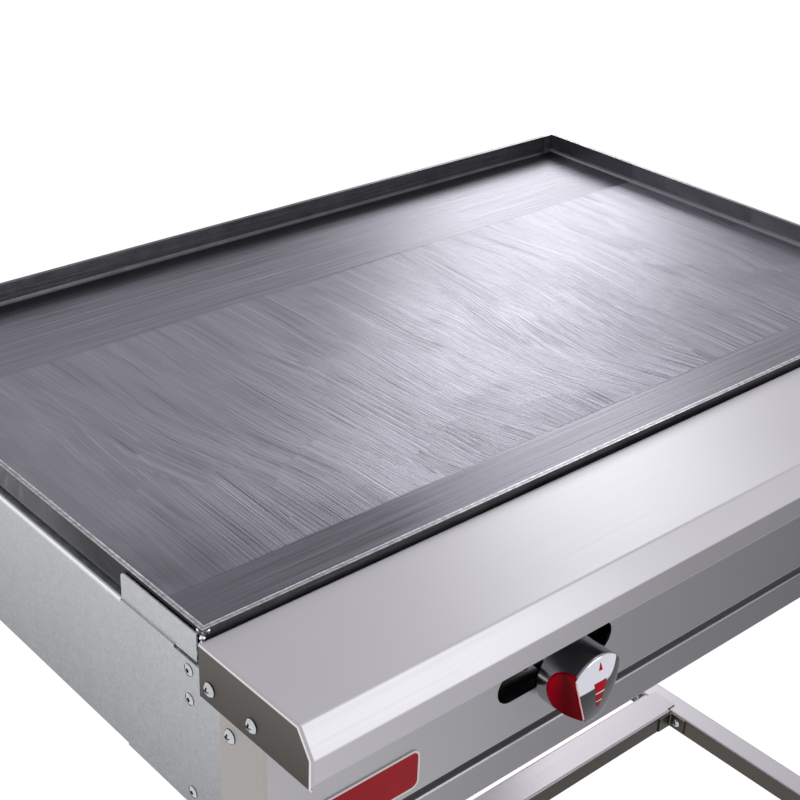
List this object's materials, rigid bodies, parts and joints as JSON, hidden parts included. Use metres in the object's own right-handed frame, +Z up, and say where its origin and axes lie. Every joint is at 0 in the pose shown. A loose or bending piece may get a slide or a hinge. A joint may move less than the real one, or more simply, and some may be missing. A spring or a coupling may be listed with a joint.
{
  "type": "gas griddle",
  "caption": "Free-standing gas griddle: rimmed steel plate, folded front shelf, push-and-turn knobs, tube burners, open angle-leg frame with a bolted lower stretcher frame.",
  "frame": {"origin": "on the floor, at the middle of the bounding box", "axes": "+X to the right along the front, +Y from the front shelf to the back, +Z up"},
  "size_m": [0.9088, 0.7186, 0.9],
  "materials": {
    "griddle_steel": "hand-ground bare steel",
    "stainless": "fine satin",
    "galvanised": "galvanised, fine spangle",
    "zinc": "bright zinc plate",
    "badge": "plain red label, no lettering",
    "pad_plastic": "moulded",
    "pipe": "plain drawn tube",
    "brass": "machined",
    "burner_steel": "heat-dulled tube",
    "chrome": "polished",
    "inlay": "red, gloss"
  },
  "bodies": {
    "frame": {"griddle_plate": "griddle_steel", "front_shelf": "stainless", "control_panel": "stainless", "badge_plate": "badge", "front_rail": "stainless", "rear_rail": "stainless", "rear_panel": "galvanised", "side_panel_left": "galvanised", "side_panel_right": "galvanised", "bracket_front_left": "galvanised", "bracket_front_right": "galvanised", "bracket_rear_left": "galvanised", "bracket_rear_right": "galvanised", "leg_front_left": "stainless", "leg_front_right": "stainless", "leg_rear_left": "stainless", "leg_rear_right": "stainless", "front_bulkhead": "galvanised", "front_rest_rail": "galvanised", "rear_rest_rail": "galvanised", "burner_support_bar": "galvanised", "side_stretcher_left": "stainless", "side_stretcher_right": "stainless", "cross_stretcher": "stainless", "stretcher_clips": "stainless", "foot_sockets": "stainless", "shelf_screws": "zinc", "leg_screws": "zinc", "panel_rivets": "zinc", "stretcher_bolts": "zinc", "manifold_pipe": "pipe", "gas_inlet": "brass", "manifold_brackets": "galvanised", "gas_tap_left": "brass", "gas_tap_right": "brass", "injector_left": "brass", "injector_right": "brass", "burner_left": "burner_steel", "burner_right": "burner_steel"},
    "washer_left": {"push_washer_left": "zinc"},
    "knob_left": {"tap_spindle_left": "zinc", "knob_left": "chrome", "knob_inlays_left": "inlay"},
    "shutter_left": {"air_shutter_left": "zinc"},
    "washer_right": {"push_washer_right": "zinc"},
    "knob_right": {"tap_spindle_right": "zinc", "knob_right": "chrome", "knob_inlays_right": "inlay"},
    "shutter_right": {"air_shutter_right": "zinc"},
    "foot_front_left": {"foot_pad_front_left": "pad_plastic", "foot_stem_front_left": "zinc"},
    "foot_front_right": {"foot_pad_front_right": "pad_plastic", "foot_stem_front_right": "zinc"},
    "foot_rear_left": {"foot_pad_rear_left": "pad_plastic", "foot_stem_rear_left": "zinc"},
    "foot_rear_right": {"foot_pad_rear_right": "pad_plastic", "foot_stem_rear_right": "zinc"}
  },
  "joints": [
    {"name": "knob_left_push", "type": "slide", "parent": "frame", "child": "washer_left", "axis": [0, 1, 0], "range_m": [0, 0.004], "stiffness_N_per_m": 2000, "springref_m": -0.002},
    {"name": "knob_left_turn", "type": "hinge", "parent": "washer_left", "child": "knob_left", "pos_m": [-0.187, -0.32, 0.795], "axis": [0, -1, 0], "range_deg": [0, 180]},
    {"name": "shutter_left_turn", "type": "hinge", "parent": "frame", "child": "shutter_left", "pos_m": [-0.187, -0.23, 0.795], "axis": [0, 1, 0], "range_deg": [0, 60]},
    {"name": "knob_right_push", "type": "slide", "parent": "frame", "child": "washer_right", "axis": [0, 1, 0], "range_m": [0, 0.004], "stiffness_N_per_m": 2000, "springref_m": -0.002},
    {"name": "knob_right_turn", "type": "hinge", "parent": "washer_right", "child": "knob_right", "pos_m": [0.187, -0.32, 0.795], "axis": [0, -1, 0], "range_deg": [0, 180]},
    {"name": "shutter_right_turn", "type": "hinge", "parent": "frame", "child": "shutter_right", "pos_m": [0.187, -0.23, 0.795], "axis": [0, 1, 0], "range_deg": [0, 60]},
    {"name": "foot_front_left_screw", "type": "slide", "parent": "frame", "child": "foot_front_left", "axis": [0, 0, -1], "range_m": [0, 0.015]},
    {"name": "foot_front_right_screw", "type": "slide", "parent": "frame", "child": "foot_front_right", "axis": [0, 0, -1], "range_m": [0, 0.015]},
    {"name": "foot_rear_left_screw", "type": "slide", "parent": "frame", "child": "foot_rear_left", "axis": [0, 0, -1], "range_m": [0, 0.015]},
    {"name": "foot_rear_right_screw", "type": "slide", "parent": "frame", "child": "foot_rear_right", "axis": [0, 0, -1], "range_m": [0, 0.015]}
  ]
}
